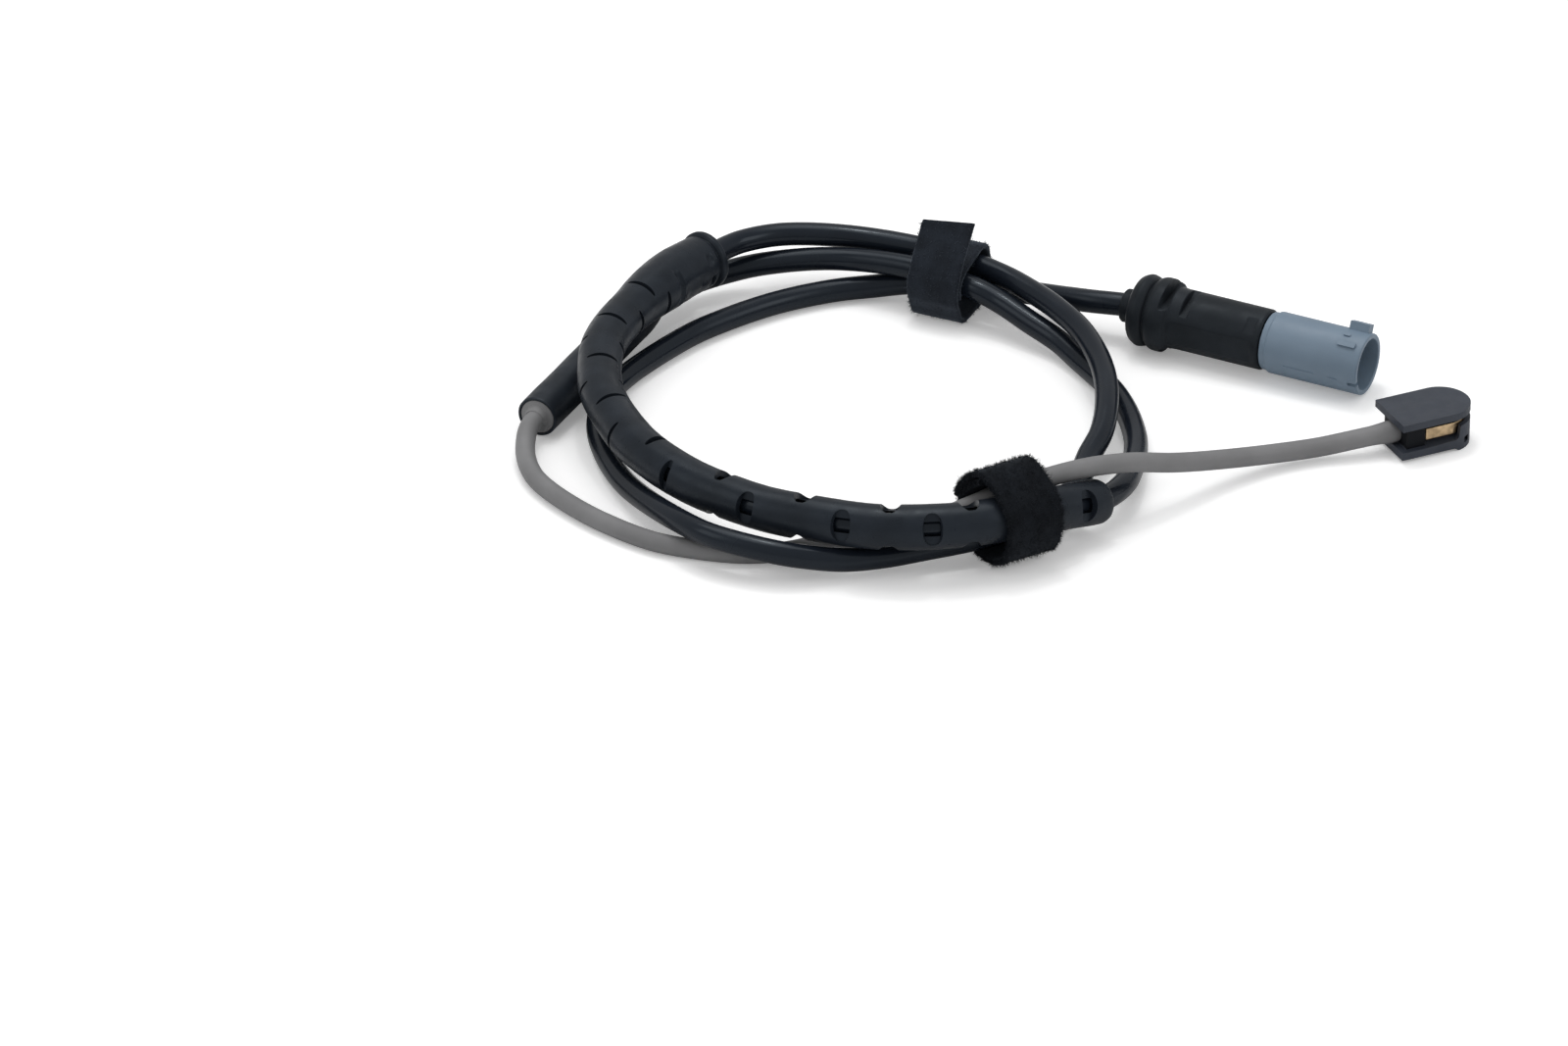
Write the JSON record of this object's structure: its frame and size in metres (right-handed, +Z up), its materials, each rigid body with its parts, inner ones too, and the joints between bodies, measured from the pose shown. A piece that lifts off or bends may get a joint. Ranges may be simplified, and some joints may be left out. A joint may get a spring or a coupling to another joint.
{
  "type": "brake pad wear sensor",
  "caption": "Brake pad wear sensor with a round plug, looped cable, slotted protective sleeve, splice, cloth straps and a fork head",
  "frame": {"origin": "on the surface it lies on, under the middle of the box round the rigid pieces", "axes": "+Z up, +X along the longest side, from the splice towards the sensor head"},
  "size_m": [0.1974, 0.1314, 0.0222],
  "materials": {
    "body_rubber": "satin",
    "shroud_plastic": "matte",
    "contact_metal": "satin",
    "core_insulation": "matte",
    "black_jacket": "satin",
    "sleeve_rubber": "satin",
    "splice_rubber": "satin",
    "grey_jacket": "matte",
    "head_plastic": "matte",
    "brass_strip": "satin",
    "strap_cloth": "matte"
  },
  "bodies": {
    "root": {"connector_body": "body_rubber", "connector_shroud": "shroud_plastic", "contact_pin_1": "contact_metal", "contact_pin_2": "contact_metal", "plug_core_1": "core_insulation", "plug_core_2": "core_insulation", "black_cable": "black_jacket", "protective_sleeve": "sleeve_rubber", "splice_sleeve": "splice_rubber", "splice_seal": "grey_jacket", "splice_crimp_1": "contact_metal", "splice_crimp_2": "contact_metal", "black_core_1": "core_insulation", "black_core_2": "core_insulation", "grey_core_1": "core_insulation", "grey_core_2": "core_insulation", "grey_cable": "grey_jacket", "sensor_head": "head_plastic", "spring_strip": "brass_strip", "wear_loop": "brass_strip", "upper_strap": "strap_cloth", "lower_strap": "strap_cloth"}
  },
  "joints": []
}
